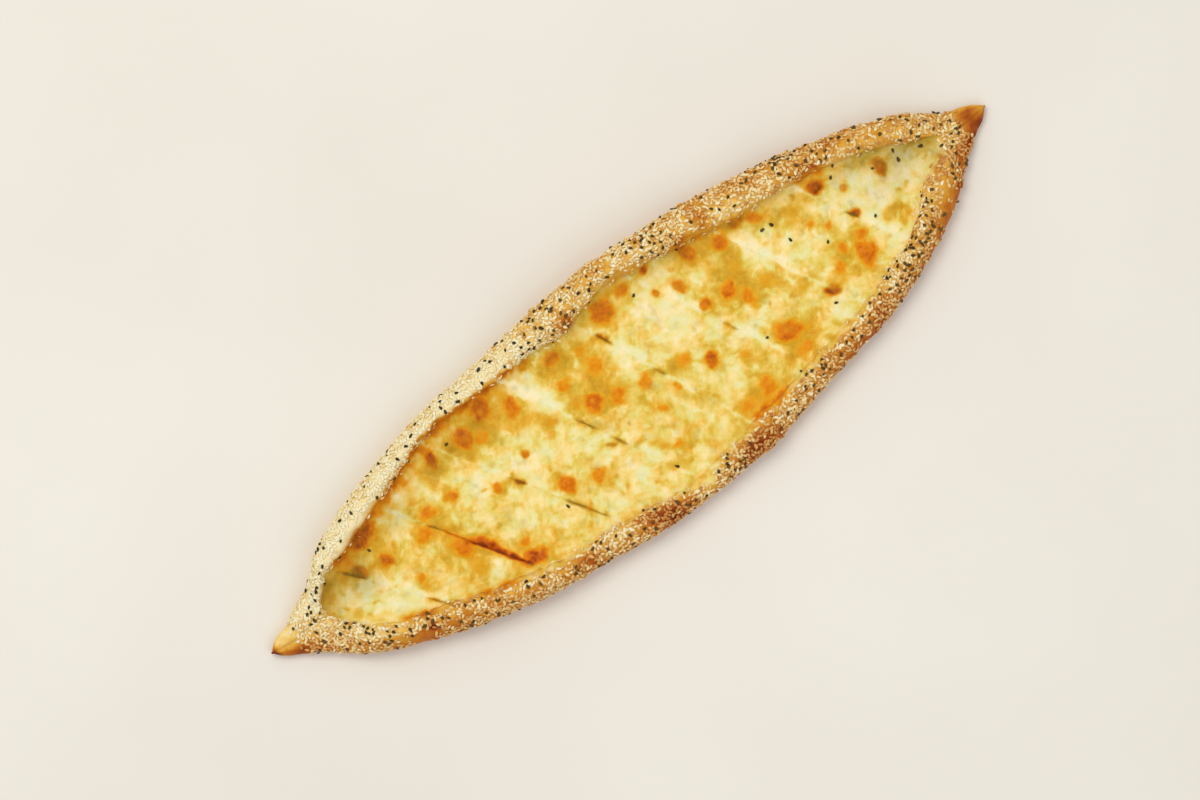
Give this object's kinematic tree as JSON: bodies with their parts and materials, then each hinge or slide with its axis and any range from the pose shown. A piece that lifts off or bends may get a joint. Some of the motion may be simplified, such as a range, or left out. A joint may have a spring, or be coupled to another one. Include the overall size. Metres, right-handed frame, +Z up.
{
  "type": "cheese pide",
  "caption": "Boat-shaped flatbread baked open over melted cheese, with a folded rim strewn with sesame and nigella seeds, cut across into slices that lie together.",
  "frame": {"origin": "centre of the flat underside, under the middle of the whole bread", "axes": "+Z up out of the cheese, +X along the bread towards its browner point, +Y towards the less bowed of the two long edges"},
  "size_m": [0.44, 0.1291, 0.0234],
  "materials": {
    "crust": "baked dough, golden brown, matt with a slight sheen",
    "cheese": "melted cheese, pale yellow, moist and softly shiny"
  },
  "bodies": {
    "root": {"crust_slice_1": "crust", "crust_slice_2": "crust", "crust_slice_3": "crust", "crust_slice_4": "crust", "crust_slice_5": "crust", "crust_slice_6": "crust", "crust_slice_7": "crust", "crust_slice_8": "crust", "crust_slice_9": "crust", "cheese_slice_1": "cheese", "cheese_slice_2": "cheese", "cheese_slice_3": "cheese", "cheese_slice_4": "cheese", "cheese_slice_5": "cheese", "cheese_slice_6": "cheese", "cheese_slice_7": "cheese", "cheese_slice_8": "cheese", "cheese_slice_9": "cheese"}
  },
  "joints": []
}
